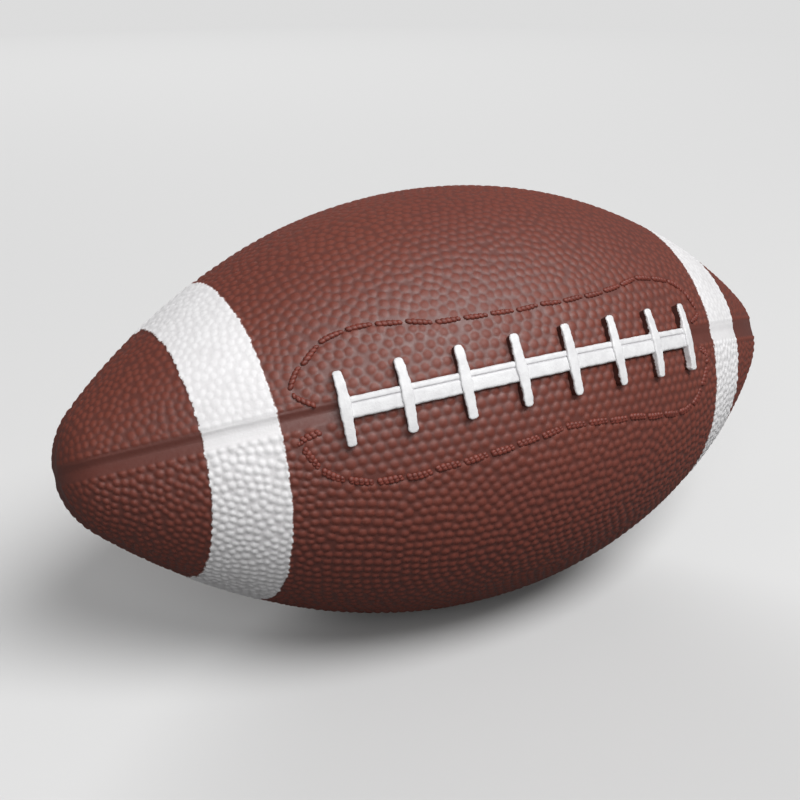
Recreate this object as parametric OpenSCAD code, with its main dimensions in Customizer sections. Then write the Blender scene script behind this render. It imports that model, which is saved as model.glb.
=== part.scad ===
// American football of moulded rubber: a bladder, a thread winding and a rubber carcass
// under four pebbled cover panels, with raised laces, two painted stripes and a valve.
// The ball lies on its belly: X runs from tip to tip, +Z is up, and the origin is its centre.

/* [Ball] */
// Diameter round the middle
ball_d = 118; // [114:1:122]
// Length from tip to tip
ball_l = 223; // [216:1:232]
// Radius of each rounded tip, as a share of that of a plain oval this long and wide
nose_share = 0.7015; // [0.6:0.0005:0.85]
// Radius of the long arc over the belly, as a share of that of the same oval
belly_share = 0.665; // [0.6:0.005:0.75]
// Angle of the belly arc each side of the middle
belly_arc_a = 25; // [22:1:28]
// Roll of the lace line from straight up towards the front, as the ball lies
lace_roll = 63; // [50:1:70]

/* [Cover] */
// Thickness of the cover panels
panel_t = 1.6; // [1.3:0.1:2.6]
// Width of the channel along each seam
seam_w = 4.8; // [3:0.1:6]
// Depth of the channel along each seam
seam_deep = 0.8; // [0.5:0.1:1]

/* [Stripes] */
// Distance from the middle of the ball to the near edge of a stripe, as a share of half its length
stripe_share = 0.5946; // [0.57:0.0002:0.66]
// Width of a stripe along the ball
stripe_w = 16.3; // [8:0.1:20]
// Thickness of the paint coat
coat_t = 0.25; // [0.15:0.05:0.4]

/* [Laces] */
// Distance from the first crossbar to the last along the cover, as a share of the ball's length
lace_share = 0.4695; // [0.38:0.0005:0.48]
// Shift of the laces along the ball from its middle
lace_shift = -1; // [-4:0.1:4]
// Length of a crossbar round the ball
bar_l = 18; // [13:0.1:24]
// Width of a crossbar near its ends
bar_w = 2.9; // [2:0.1:4]
// Width of a crossbar where it passes over the rails
waist_w = 3.7; // [3:0.1:5]
// Height of a crossbar over the cover
bar_rise = 2.3; // [2:0.1:3]
// Height of the two rails over the cover
rail_rise = 1.5; // [0.8:0.1:1.7]
// Width of the upper rail
upper_rail_w = 1.4; // [1:0.1:2]
// Width of the lower rail
lower_rail_w = 3.35; // [2:0.05:4]
// Groove between the two rails
rail_gap = 0.35; // [0.2:0.05:0.6]
// Distance from the seam to the upper edge of the rails
rail_top = 2.45; // [2:0.05:3]

/* [Inner layers] */
// Thickness of the rubber carcass
carcass_t = 0.6; // [0.4:0.1:1.5]
// Thickness of the nylon thread winding
winding_t = 0.5; // [0.3:0.1:1]
// Thickness of the bladder wall
bladder_t = 0.9; // [0.6:0.1:1.5]
// Bond line between layers and under what is bonded on
bond_gap = 0.1; // [0.05:0.01:0.15]

/* [Valve] */
// Angle from the seam opposite the laces up to the valve
valve_turn = 27; // [15:1:60]
// Depth of the valve face under the cover
valve_recess = 0.4; // [0.3:0.1:0.8]
// Diameter of the needle channel
needle_d = 2; // [1.8:0.1:2.2]
// Depth of the needle channel
needle_deep = 10; // [7:0.5:11]
// Diameter of the valve plug
plug_d = 5; // [4:0.1:6]
// Length of the valve plug
plug_l = 12.5; // [12:0.5:15]
// Clearance round the valve plug
plug_clear = 0.05; // [0.02:0.01:0.08]
// Diameter of the stem of the valve boot
stem_d = 9; // [7.5:0.1:11]
// Thickness of the floor of the valve boot
boot_floor_t = 1.2; // [0.8:0.1:2]
// Diameter of the air hole in that floor
air_hole_d = 1.6; // [1:0.1:2.5]
// Diameter of the flange of the valve boot
flange_d = 24; // [16:0.5:30]
// Thickness of that flange
flange_t = 1.5; // [1:0.1:2.5]

/* [Hidden] */
$fn = 180;
// Crossbars of the laces
bar_count = 8;
// Overrun of every cut
over = 1;
// Straight steps that stand for each arc of the outline
belly_steps = 9;
shoulder_steps = 7;
nose_steps = 10;
// Gap between the valve plug and the floor of its boot
plug_seat = 0.3;
rubber_brown = "#7d4738";
rubber_dark = "#4a2a22";
paint_white = "#f2f2ee";

// The outline of the ball, from the middle to a tip: the belly arc, a flatter shoulder arc
// that continues it, and the arc of the tip. A place is [distance from the axis, distance along it],
// and an angle is measured from straight out towards the tip.
ball_r = ball_d / 2;
half_l = ball_l / 2;
nose_r = nose_share * ball_r * ball_r / half_l;
belly_arc_r = belly_share * half_l * half_l / ball_r;
belly_c = [ball_r - belly_arc_r, 0];
belly_end_dir = [cos(belly_arc_a), sin(belly_arc_a)];
belly_end = belly_c + belly_arc_r * belly_end_dir;
nose_c = [0, half_l - nose_r];
belly_to_nose = belly_end - nose_c;
shoulder_r = (belly_to_nose * belly_to_nose - nose_r * nose_r)
    / (2 * (belly_to_nose * belly_end_dir - nose_r));
shoulder_c = belly_end - shoulder_r * belly_end_dir;
shoulder_end_a = atan2(nose_c[1] - shoulder_c[1], -shoulder_c[0]);

stripe_x = stripe_share * half_l;

// Depths of the layers, from the cover inwards
carcass_out = -panel_t - bond_gap;
winding_out = carcass_out - carcass_t - bond_gap;
bladder_out = winding_out - winding_t - bond_gap;
flange_out = bladder_out - bladder_t - bond_gap;

// The laces
lace_l = lace_share * ball_l;
lace_start = lace_shift - lace_l / 2;
bar_pitch = lace_l / (bar_count - 1);
rail_bottom = upper_rail_w + rail_gap + lower_rail_w - rail_top;
// Part of a turn that holds the laces, half of it each side of their seam
lace_sector = 60;

// The valve
valve_a = lace_roll + 180 + valve_turn;
valve_face = ball_r - valve_recess;
boot_bore_d = plug_d + 2 * plug_clear;
boot_deep = plug_l + plug_seat + boot_floor_t;

// Points along an arc of the outline, without its last one
function arc_points(centre, radius, from, to, steps) = [
    for (k = [0:steps - 1])
        let (angle = from + (to - from) * k / steps)
            centre + radius * [cos(angle), sin(angle)]
];

// The outline from the middle to a tip, grown outwards by a distance
function half_outline(grow) = concat(
    arc_points(belly_c, belly_arc_r + grow, 0, belly_arc_a, belly_steps),
    arc_points(shoulder_c, shoulder_r + grow, belly_arc_a, shoulder_end_a, shoulder_steps),
    arc_points(nose_c, nose_r + grow, shoulder_end_a, 90, nose_steps),
    [nose_c + [0, nose_r + grow]]
);

// Half section of the ball, grown outwards by a distance, with the axis along Y
module section(grow) {
    half = half_outline(grow);
    polygon(concat([for (k = [len(half) - 1:-1:1]) [half[k][0], -half[k][1]]], half));
}

module wall_section(inner, outer) {
    difference() {
        section(outer);
        section(inner);
    }
}

// Turns a half section about the long axis. The start is measured from straight up to the front.
module turned(start, sweep) {
    rotate([start - 180, 0, 0]) rotate([0, 90, 0]) rotate_extrude(angle = sweep) children();
}

// The channel over a seam at the top, from tip to tip, as it is left when its floor and
// its sides are lined by a distance
module channel(lining) {
    width = seam_w - 2 * lining;
    difference() {
        translate([-ball_l, -width / 2, 0]) cube([2 * ball_l, width, ball_d]);
        turned(0, 360) section(lining - seam_deep);
    }
}

module valve_hole() {
    rotate([valve_a, 0, 0]) cylinder(d = stem_d + 2 * bond_gap, h = ball_d);
}

// A closed layer of the ball, with the hole for the valve
module layer(outer, thickness) {
    difference() {
        turned(0, 360) wall_section(outer - thickness, outer);
        valve_hole();
    }
}

module bladder() {
    color("dimgray") layer(bladder_out, bladder_t);
}

module thread_winding() {
    color("wheat") layer(winding_out, winding_t);
}

module carcass() {
    color(rubber_dark) layer(carcass_out, carcass_t);
}

// A quarter of the cover, between the seam at first_seam and the next one
module cover_panel(first_seam) {
    color(rubber_brown) difference() {
        turned(first_seam, 90) wall_section(-panel_t, 0);
        rotate([first_seam, 0, 0]) channel(0);
        rotate([first_seam + 90, 0, 0]) channel(0);
    }
}

module upper_front_panel() {
    cover_panel(lace_roll - 90);
}

module lower_front_panel() {
    cover_panel(lace_roll);
}

module lower_back_panel() {
    cover_panel(lace_roll + 90);
}

module upper_back_panel() {
    difference() {
        cover_panel(lace_roll + 180);
        color(rubber_brown) valve_hole();
    }
}

module four_channels(lining) {
    for (quarter = [0:3]) rotate([lace_roll + 90 * quarter, 0, 0]) channel(lining);
}

module stripe_span(grow) {
    translate([0, stripe_x - grow]) square([ball_d, stripe_w + 2 * grow]);
}

// A coat of paint round the ball, which dips into the four channels
module right_stripe() {
    color(paint_white) difference() {
        turned(0, 360) intersection() {
            wall_section(-seam_deep - over, bond_gap + coat_t);
            stripe_span(0);
        }
        four_channels(bond_gap + coat_t);
        difference() {
            turned(0, 360) intersection() {
                section(bond_gap);
                stripe_span(over);
            }
            four_channels(bond_gap);
        }
    }
}

module left_stripe() {
    mirror([1, 0, 0]) right_stripe();
}

// What lies over the cover round the lace seam, up to a height, with the seam at the top
module over_cover(rise) {
    difference() {
        turned(-lace_sector / 2, lace_sector) wall_section(-seam_deep - over, rise);
        difference() {
            turned(-lace_sector, 2 * lace_sector) section(bond_gap);
            channel(bond_gap);
        }
    }
}

// Angle that a distance along the cover takes at the centre of the belly arc
function belly_turn(along) = along / belly_arc_r * 180 / PI;

// Carries children from the origin out to the cover, at a distance along it from the middle
module at_lace(along) {
    translate([0, 0, belly_c[0]]) rotate([0, belly_turn(along), 0])
        translate([0, 0, belly_arc_r]) children();
}

// A block as long as the laces, between two distances above the seam and up to a height
module along_laces(low, high, rise) {
    inner = belly_arc_r - seam_deep - over;
    translate([0, 0, belly_c[0]]) rotate([90, 0, 0])
        rotate([0, 0, 90 - belly_turn(lace_shift + lace_l / 2)])
            rotate_extrude(angle = belly_turn(lace_l))
                translate([inner, -high]) square([belly_arc_r + rise - inner, high - low]);
}

// A rail between two distances above the seam
module lace_rail(low, high) {
    color(paint_white) rotate([lace_roll, 0, 0]) intersection() {
        along_laces(low, high, rail_rise + over);
        over_cover(rail_rise);
    }
}

module upper_lace_rail() {
    lace_rail(rail_top - upper_rail_w, rail_top);
}

module lower_lace_rail() {
    lace_rail(-rail_bottom, lower_rail_w - rail_bottom);
}

// Outline of a crossbar from above: round ends, and a wider waist over the rails
module bar_outline() {
    straight = bar_l - bar_w;
    waist_l = rail_top + rail_bottom + waist_w / 2;
    square([bar_w, straight], center = true);
    for (end = [-1, 1]) translate([0, end * straight / 2]) circle(d = bar_w);
    intersection() {
        square([waist_w, waist_l], center = true);
        circle(d = waist_l);
    }
}

module lace_bar(number) {
    color(paint_white) rotate([lace_roll, 0, 0]) difference() {
        intersection() {
            over_cover(bar_rise);
            at_lace(lace_start + (number - 1) * bar_pitch)
                translate([0, 0, -seam_deep - over]) linear_extrude(height = seam_deep + bar_rise + 2 * over)
                    bar_outline();
        }
        along_laces(-rail_bottom - bond_gap, rail_top + bond_gap, rail_rise + bond_gap);
    }
}

// Carries children to the valve: its axis becomes Z, measured from the centre of the ball
module at_valve() {
    rotate([valve_a, 0, 0]) children();
}

module valve_boot() {
    color("black") at_valve() difference() {
        union() {
            translate([0, 0, valve_face - boot_deep]) cylinder(d = stem_d, h = boot_deep);
            intersection() {
                cylinder(d = flange_d, h = ball_d);
                turned(0, 360) wall_section(flange_out - flange_t, flange_out);
            }
        }
        translate([0, 0, valve_face - plug_l - plug_seat])
            cylinder(d = boot_bore_d, h = plug_l + plug_seat + over);
        translate([0, 0, valve_face - boot_deep - over])
            cylinder(d = air_hole_d, h = boot_floor_t + 2 * over);
    }
}

module valve_plug() {
    color("darkslategray") at_valve() difference() {
        translate([0, 0, valve_face - plug_l]) cylinder(d = plug_d, h = plug_l);
        translate([0, 0, valve_face - needle_deep]) cylinder(d = needle_d, h = needle_deep + over);
    }
}

bladder();
thread_winding();
carcass();
upper_front_panel();
lower_front_panel();
lower_back_panel();
upper_back_panel();
left_stripe();
right_stripe();
upper_lace_rail();
lower_lace_rail();
for (number = [1:bar_count])
    lace_bar(number);
valve_boot();
valve_plug();
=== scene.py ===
"""Looks of a moulded rubber American football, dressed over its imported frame.

The ball lies on its belly: X runs from tip to tip, Z is up, and the laces face the front.
Sizes here are in millimetres until a mesh is finished, and Blender gets metres.
A place on the cover is its run (millimetres along the cover from the middle of the ball,
positive to the right) and its turn (degrees round the long axis, from straight up to the front).
"""

import logging
import math
from dataclasses import dataclass, field
from enum import Enum, IntEnum

import bmesh
import bpy
import numpy as np
from mathutils import Matrix, Vector
from mathutils.kdtree import KDTree


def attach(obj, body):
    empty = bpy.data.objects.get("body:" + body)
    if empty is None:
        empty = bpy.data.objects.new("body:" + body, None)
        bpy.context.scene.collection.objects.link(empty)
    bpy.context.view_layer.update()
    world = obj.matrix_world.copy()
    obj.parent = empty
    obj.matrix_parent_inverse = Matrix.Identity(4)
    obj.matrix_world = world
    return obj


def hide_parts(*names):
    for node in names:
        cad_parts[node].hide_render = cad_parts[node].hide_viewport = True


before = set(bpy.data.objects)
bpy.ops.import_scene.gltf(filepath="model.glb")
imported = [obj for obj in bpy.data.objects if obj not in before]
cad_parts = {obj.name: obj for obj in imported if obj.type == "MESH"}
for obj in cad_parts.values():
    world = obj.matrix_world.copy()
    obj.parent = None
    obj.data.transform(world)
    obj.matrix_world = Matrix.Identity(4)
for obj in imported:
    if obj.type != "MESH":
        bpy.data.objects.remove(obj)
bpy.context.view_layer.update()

# metres in a millimetre, turns of the laces and the valve, and half a panel, in degrees
MM = 0.001
LACE_TURN = 63.0
VALVE_TURN = 270
HALF_PANEL = 45
# less than any real distance, and more than any that matters
TINY = 1e-4
FAR = 99.0
LOG = logging.getLogger("football")

Array = np.ndarray
BMesh = bmesh.types.BMesh
Material = bpy.types.Material
Colour = tuple[int, int, int]
Pair = tuple[float, float]
Triple = tuple[float, float, float]


class Layer(Enum):
    """Bodies of the frame that pieces ride on."""

    BALL = "ball"
    VALVE = "valve"


class Patch(IntEnum):
    """Which part of the lace patch a panel carries, with the sign of its drops."""

    UPPER = -1
    NONE = 0
    LOWER = 1


def smooth_step(low: float, high: float, value: Array) -> Array:
    """Rises smoothly from 0 at low to 1 at high.

    Args:
        low: Value where the rise starts.
        high: Value where it ends.
        value: Values to look up.

    Returns:
        A share from 0 to 1 for each value.
    """
    t = np.clip((value - low) / (high - low), 0, 1)
    return t * t * (3 - 2 * t)


def hump(value: Array, wide: float) -> Array:
    """Gives a smooth hump, 1 at 0 and about a third of that at its width."""
    return np.exp(-((value / wide) ** 2))


def panel_turn(number: int) -> float:
    """Gives the turn of a panel's middle, from the upper front one round to the back."""
    return LACE_TURN - HALF_PANEL + 2 * HALF_PANEL * number


def tree_of(points: Array) -> KDTree:
    """Builds a search tree.

    Args:
        points: Rows of x, y, z.

    Returns:
        The tree, ready to search.
    """
    tree = KDTree(len(points))
    for index, point in enumerate(points):
        tree.insert(point, index)
    tree.balance()
    return tree


# ---- shape of the cover


@dataclass(frozen=True)
class Outline:
    """Outline of the cover from tip to tip: belly arc, flatter shoulder arc, nose arc."""

    girth_d: float = 118.0
    length: float = 223.0
    nose_share: float = 0.7015
    belly_share: float = 0.665
    belly_arc_a: float = 25.0

    def arcs(self) -> list[tuple[float, float, float, float]]:
        """Works out the three arcs.

        Returns:
            For each arc: where its centre lies out from the axis and along it, its radius,
            and the tilt of the cover's normal where it starts, in radians.
        """
        ball_r, half_l = self.girth_d / 2, self.length / 2
        nose_r = self.nose_share * ball_r**2 / half_l
        belly_r = self.belly_share * half_l**2 / ball_r
        a = math.radians(self.belly_arc_a)
        end = np.array([ball_r - belly_r + belly_r * math.cos(a), belly_r * math.sin(a)])
        way = np.array([math.cos(a), math.sin(a)])
        nose_c = np.array([0.0, half_l - nose_r])
        gap = end - nose_c
        shoulder_r = float((gap @ gap - nose_r**2) / (2 * (gap @ way - nose_r)))
        shoulder_c = end - shoulder_r * way
        b = math.atan2(nose_c[1] - shoulder_c[1], -shoulder_c[0])
        return [
            (ball_r - belly_r, 0.0, belly_r, 0.0),
            (float(shoulder_c[0]), float(shoulder_c[1]), shoulder_r, a),
            (0.0, float(nose_c[1]), nose_r, b),
        ]

    def starts(self) -> list[float]:
        """Works out how far along the cover each arc starts.

        Returns:
            The run of each start, and last the run of the tip.
        """
        arcs = self.arcs()
        tilts = [arc[3] for arc in arcs] + [math.pi / 2]
        runs = [0.0]
        for arc, low, high in zip(arcs, tilts, tilts[1:]):
            runs.append(runs[-1] + arc[2] * (high - low))
        return runs

    def place(self, run: Array) -> tuple[Array, Array, Array]:
        """Finds the outline's points at some runs.

        Args:
            run: Distances along the cover from the middle, signed.

        Returns:
            Distance along the axis, distance out from it, and tilt of the normal.
        """
        arcs, runs = self.arcs(), self.starts()
        way = np.abs(run)
        along, out, tilt = (np.zeros_like(way) for _ in range(3))
        for number, (centre_out, centre_along, radius, first) in enumerate(arcs):
            here = way >= runs[number]
            angle = first + (way - runs[number]) / radius
            tilt = np.where(here, angle, tilt)
            out = np.where(here, centre_out + radius * np.cos(angle), out)
            along = np.where(here, centre_along + radius * np.sin(angle), along)
        return along * np.sign(run), np.maximum(out, 0), tilt * np.sign(run)

    def wrap(self, run: Array, turn: Array, rise: Array) -> Array:
        """Carries places on the cover into space.

        Args:
            run: Runs along the cover.
            turn: Turns round the axis, in degrees.
            rise: Heights over the cover, along its normal.

        Returns:
            One row of x, y, z for each place, in millimetres.
        """
        along, out, tilt = self.place(run)
        angle = np.radians(turn)
        level = out + rise * np.cos(tilt)
        return np.stack(
            [along + rise * np.sin(tilt), -level * np.sin(angle), level * np.cos(angle)], axis=1
        )


@dataclass(frozen=True)
class StitchLine:
    """One moulded stitch line of the lace patch, as places (run, drop below the lace seam)."""

    name: str
    rows: int
    bead_pitch: float
    bead: Triple
    slant: float
    sunk: float
    knots: tuple[Pair, ...]
    dash: float = 6.2
    gap: float = 1.1
    step: float = 0.15
    row_pitch: float = 0.56
    row_lag: float = 0.25
    dash_tilt: float = 0.22
    least_dash: float = 1.0
    uneven: float = 0.08

    def path(self, step: float) -> Array:
        """Runs a smooth curve through the knots.

        Args:
            step: Distance between the points that it gives.

        Returns:
            Rows of run and drop, evenly spaced along the curve.
        """
        p = np.array(self.knots)
        p = np.concatenate([[2 * p[0] - p[1]], p, [2 * p[-1] - p[-2]]])
        t = np.linspace(0, 1, 24, endpoint=False)[:, None]
        pieces = [
            0.5 * (2 * b + (c - a) * t + (2 * a - 5 * b + 4 * c - d) * t**2
                   + (3 * b - 3 * c + d - a) * t**3)
            for a, b, c, d in zip(p, p[1:], p[2:], p[3:])
        ]
        curve = np.concatenate(pieces + [p[-2:-1]])
        way = np.concatenate([[0], np.cumsum(np.hypot(*np.diff(curve, axis=0).T))])
        even = np.arange(0, way[-1], step)
        return np.stack([np.interp(even, way, curve[:, k]) for k in (0, 1)], axis=1)

    def beads(self) -> list[tuple[float, float, float, float]]:
        """Places the beads along the line.

        Returns:
            The run, the drop, the heading in degrees and the size of each bead.
        """
        path = self.path(self.step)
        way = np.arange(len(path)) * self.step
        heading = np.degrees(np.arctan2(*np.gradient(path, axis=0).T[::-1]))
        found = []
        start, number = 0.0, 0
        while start < way[-1] - self.least_dash:
            stop = min(start + self.dash, way[-1])
            count = max(2, round((stop - start) / self.bead_pitch))
            tilt = self.dash_tilt * math.sin(number * 2.4)
            for k in range(count):
                for row in range(self.rows):
                    shift = (row - (self.rows - 1) / 2) * self.row_pitch
                    lag = self.row_lag * row * (self.rows > 1)
                    at = start + (k + 0.5 + lag) * (stop - start) / count
                    side = shift + tilt * (k / count - 0.5) * 2
                    run, drop = (float(np.interp(at, way, path[:, c])) for c in (0, 1))
                    angle = float(np.interp(at, way, heading))
                    turn = math.radians(angle)
                    size = 1 + self.uneven * math.sin(at * 5.1)
                    size *= 1.08 - 0.25 * abs(2 * (k + 0.5) / count - 0.8) ** 2
                    run -= math.sin(turn) * side
                    found.append((run, drop + math.cos(turn) * side, angle, size))
            start = stop + self.gap
            number += 1
        return found


UPPER_STITCHES = StitchLine(
    "upper_stitches", 1, 1.22, (1.0, 0.66, 0.58), 28.0, 0.22,
    ((-60.2, -2.2), (-64.7, -6.2), (-62.6, -11.2), (-60.0, -13.3), (-54.6, -17.1), (-50.0, -18.8),
     (-45.0, -19.3), (-40.0, -19.0), (-33.3, -17.8), (-25.8, -16.4), (-18.0, -15.7), (-3.3, -15.3),
     (13.0, -15.5), (25.0, -16.0), (34.2, -17.7), (42.0, -18.4), (50.0, -17.3), (56.0, -15.8),
     (61.0, -11.5), (63.6, -6.0), (57.9, -3.7)),
)
LOWER_STITCHES = StitchLine(
    "lower_stitches", 2, 1.2, (0.84, 0.74, 0.7), 20.0, 0.55,
    ((-60.2, 4.0), (-65.4, 5.5), (-63.7, 9.6), (-60.8, 13.6), (-56.3, 17.0), (-48.3, 19.3),
     (-41.7, 19.7), (-36.7, 20.1), (-30.0, 19.4), (-16.7, 18.7), (-8.3, 17.7), (0.0, 16.8),
     (7.0, 16.6), (13.3, 17.1), (20.0, 17.9), (29.2, 18.5), (36.7, 19.6), (46.7, 20.2),
     (51.7, 19.3), (56.0, 17.3), (60.0, 13.3), (63.3, 8.0), (62.6, 5.0), (58.7, 3.0)),
)


@dataclass
class Grain:
    """Layout of the pebbles on one panel: rings nested from its middle to its seams."""

    outline: Outline
    middle_turn: float
    draw: np.random.Generator
    whorl: Pair
    patch: Patch
    uneven: float
    deep_share: float
    wide_share: float
    roundness: float
    pitch: float = 2.68
    ring_pitch: float = 2.5
    ring_count: int = 80
    first_ring: float = 0.35
    patch_pitch: float = 2.95
    patch_row: float = 2.52
    patch_box: Pair = (66, 21)
    patch_wide: float = 0.45
    patch_clear: float = 0.8
    line_drop: float = 6.5
    path_step: float = 0.6
    search_step: Pair = (0.7, 0.6)
    seam_row: float = 3.1
    row_share: float = 0.96
    row_uneven: float = 0.1
    row_gap: float = 0.75
    seam_clear: float = 2.75
    stitch_clear: float = 1.35
    valve_clear: float = 7.6
    tip_clear: float = 3.0
    least_gap: float = 2.5
    push_share: float = 0.42
    push_blend: float = 8
    nose_blend: Pair = (-6, 14)
    end_run: float = 64.0
    end_share: float = 0.88
    end_uneven: float = 0.2
    even_rounds: tuple[int, int] = (5, 3)
    fill_shares: Pair = (0.93, 0.8)
    size_spread: float = 0.06
    size_range: Pair = (0.9, 1.5)
    radii: Array = field(init=False, repr=False)
    tree: KDTree = field(init=False, repr=False)

    @property
    def line(self) -> StitchLine:
        """The stitch line round the panel's part of the lace patch."""
        return UPPER_STITCHES if self.patch is Patch.UPPER else LOWER_STITCHES

    def rings(self, scale: float) -> Array:
        """Lays pebbles along rings round a line in the middle of the panel.

        Args:
            scale: Share of the full spacing.

        Returns:
            Rows of run and distance across from the panel's middle line.
        """
        left, right = self.whorl
        straight = right - left
        found = []
        for number in range(self.ring_count):
            radius = (number + self.first_ring) * self.ring_pitch * scale
            around = 2 * straight + 2 * math.pi * radius
            count = max(3, round(around / self.pitch / scale))
            way = (np.arange(count) + 0.5 * (number % 2)) * around / count
            way = (way + straight / 2) % around
            bend = math.pi * radius
            part = np.digitize(way, [straight, straight + bend, 2 * straight + bend])
            last = way - straight - bend
            angle = np.choose(part, [0, way - straight, 0, way - 2 * straight - bend]) / radius
            sine, cosine = radius * np.sin(angle), radius * np.cos(angle)
            run = np.choose(part, [left + way, right + sine, right - last, left - sine])
            across = np.choose(part, [-cosine, -cosine, cosine, cosine])
            found.append(np.stack([run, across], axis=1))
        return np.concatenate(found)

    def patch_edge(self, run: Array) -> Array:
        """Gives how far the lace patch reaches from the seam.

        Args:
            run: Runs to look up.

        Returns:
            A distance for each run, 0 past the patch's ends.
        """
        path = self.line.path(self.line.step)
        main = path[np.abs(path[:, 1]) > self.line_drop]
        main = main[np.argsort(main[:, 0])]
        return np.interp(run, main[:, 0], np.abs(main[:, 1]), left=0, right=0)

    def lay(self) -> None:
        """Places every pebble of the panel, evens out crowded ones and sizes them."""
        wide, close = self.rings(1.0), self.rings(self.end_share)
        places = np.concatenate(
            [wide[np.abs(wide[:, 0]) < self.end_run], close[np.abs(close[:, 0]) >= self.end_run]]
        )
        nose = smooth_step(*self.nose_blend, np.abs(places[:, :1]) - self.end_run)
        places += self.draw.normal(0, 1, places.shape) * (self.uneven + self.end_uneven * nose)
        turn = np.degrees(places[:, 1] / np.maximum(self.out(places), 1e-3))
        places = np.stack([places[:, 0], turn], axis=1)[np.abs(turn) < HALF_PANEL]
        inner = self.from_seam(places) > self.seam_row + self.row_gap * self.pitch
        places = np.concatenate([places[inner], self.seam_rows()])
        if self.patch:
            places = self.with_patch(places)
        for rounds, share in zip(self.even_rounds, self.fill_shares):
            places = self.keep_clear(places)
            for _ in range(rounds):
                places = self.even_out(places)
            places = self.fill_bare(self.keep_clear(places), share)
        points = self.points_of(places)
        self.tree = tree_of(points)
        near = np.array([[hit[2] for hit in self.tree.find_n(p, 4)[1:]] for p in points])
        spread = 1 + self.draw.normal(0, self.size_spread, len(points))
        drop = self.drop_of(places) if self.patch else np.full(len(places), FAR)
        in_patch = drop < self.patch_edge(places[:, 0])
        share = np.where(in_patch, self.patch_wide, self.wide_share)
        self.radii = np.clip(share * near.mean(axis=1) * spread, *self.size_range)

    def with_patch(self, places: Array) -> Array:
        """Lays straight rows of pebbles inside the lace patch in place of the rings.

        Args:
            places: Runs and turns on the panel.

        Returns:
            The places outside the patch and the new ones.
        """
        upper = self.patch is Patch.UPPER
        outside = self.drop_of(places) > self.patch_edge(places[:, 0]) + self.patch_clear
        half, deep = self.patch_box
        added = []
        for number, row in enumerate(np.arange(self.seam_row + 0.2, deep, self.patch_row)):
            run = np.arange(-half, half, self.patch_pitch) + self.patch_pitch / 2 * (number % 2)
            added.append(np.stack([run, np.full(len(run), row)], axis=1))
        extra = np.concatenate(added)
        extra += self.draw.normal(0, 0.3 if upper else 0.12, extra.shape)
        inside = extra[:, 1] < self.patch_edge(extra[:, 0]) - (0.8 if upper else 0.4)
        return np.concatenate([places[outside], self.at_drop(extra[inside])])

    def out(self, places: Array) -> Array:
        """Gives how far each place lies from the long axis."""
        return self.outline.place(places[:, 0])[1]

    def from_seam(self, places: Array) -> Array:
        """Gives how far each place lies from the nearer seam."""
        return self.out(places) * np.sin(np.radians(HALF_PANEL - np.abs(places[:, 1])))

    def seam_rows(self) -> Array:
        """Lays one row of pebbles along each seam.

        Returns:
            Places on the panel.
        """
        tip = self.outline.starts()[-1] - self.tip_clear
        found = []
        for side in (-1, 1):
            run = np.arange(-tip, tip, self.row_share * self.pitch)
            run = run + self.draw.normal(0, self.row_uneven, len(run))
            _, out, _ = self.outline.place(run)
            turn = HALF_PANEL - np.degrees(np.arcsin(np.clip(self.seam_row / out, 0, 0.7)))
            found.append(np.stack([run, side * turn], axis=1)[out > 2 * self.seam_row])
        return np.concatenate(found)

    def drop_of(self, places: Array) -> Array:
        """Gives how far each place lies from the lace seam, round the ball."""
        angle = np.radians(places[:, 1] + self.middle_turn - LACE_TURN)
        return self.out(places) * angle * int(self.patch)

    def at_drop(self, spots: Array) -> Array:
        """Turns runs and distances from the lace seam into places on the panel."""
        turn = LACE_TURN + int(self.patch) * np.degrees(spots[:, 1] / self.out(spots))
        return np.stack([spots[:, 0], turn - self.middle_turn], axis=1)

    def points_of(self, places: Array) -> Array:
        """Gives the points in space of places on the panel."""
        return self.outline.wrap(
            places[:, 0], places[:, 1] + self.middle_turn, np.zeros(len(places))
        )

    def keep_clear(self, places: Array) -> Array:
        """Drops the pebbles too near a seam, a tip, a stitch line or the valve.

        Args:
            places: Runs and turns on the panel.

        Returns:
            The places that stay.
        """
        keep = self.from_seam(places) > self.seam_clear
        keep &= np.abs(places[:, 0]) < self.outline.starts()[-1] - self.tip_clear
        if self.patch:
            path = self.line.path(self.path_step)
            spots = np.stack([places[:, 0], self.drop_of(places) * int(self.patch)], axis=1)
            gap = np.hypot(*(spots[:, None, :] - path[None, :, :]).transpose(2, 0, 1)).min(axis=1)
            keep &= gap > self.stitch_clear
        else:
            point = self.points_of(places)
            in_front = point[:, 1] - self.outline.girth_d / 2 < -20
            keep &= np.hypot(point[:, 0], point[:, 2]) + FAR * in_front > self.valve_clear
        return places[keep]

    def fill_bare(self, places: Array, share: float) -> Array:
        """Adds pebbles where the layout left bare spots, the widest first.

        Args:
            places: Runs and turns on the panel.
            share: Share of the least gap between pebbles from which a spot counts as bare.

        Returns:
            The same pebbles and the added ones.
        """
        tree = tree_of(self.points_of(places))
        tip = self.outline.starts()[-1] - self.tip_clear
        run_step, turn_step = self.search_step
        run, turn = np.meshgrid(np.arange(-tip, tip, run_step), np.arange(-44.5, 44.6, turn_step))
        spots = self.keep_clear(np.stack([run.ravel(), turn.ravel()], axis=1))
        at = self.points_of(spots)
        gap = np.array([tree.find(point)[2] for point in at.tolist()])
        least = share * self.least_gap
        least = least * (1 - (1 - self.end_share) * (np.abs(spots[:, 0]) > self.end_run))
        bare = gap > least
        spots, at, gap, least = spots[bare], at[bare], gap[bare], least[bare]
        added = []
        while len(gap) and (gap > least).any():
            best = int(np.argmax(gap - least))
            added.append(spots[best])
            gap = np.minimum(gap, np.linalg.norm(at - at[best], axis=1))
        return np.concatenate([places, np.array(added).reshape(-1, 2)])

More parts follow.
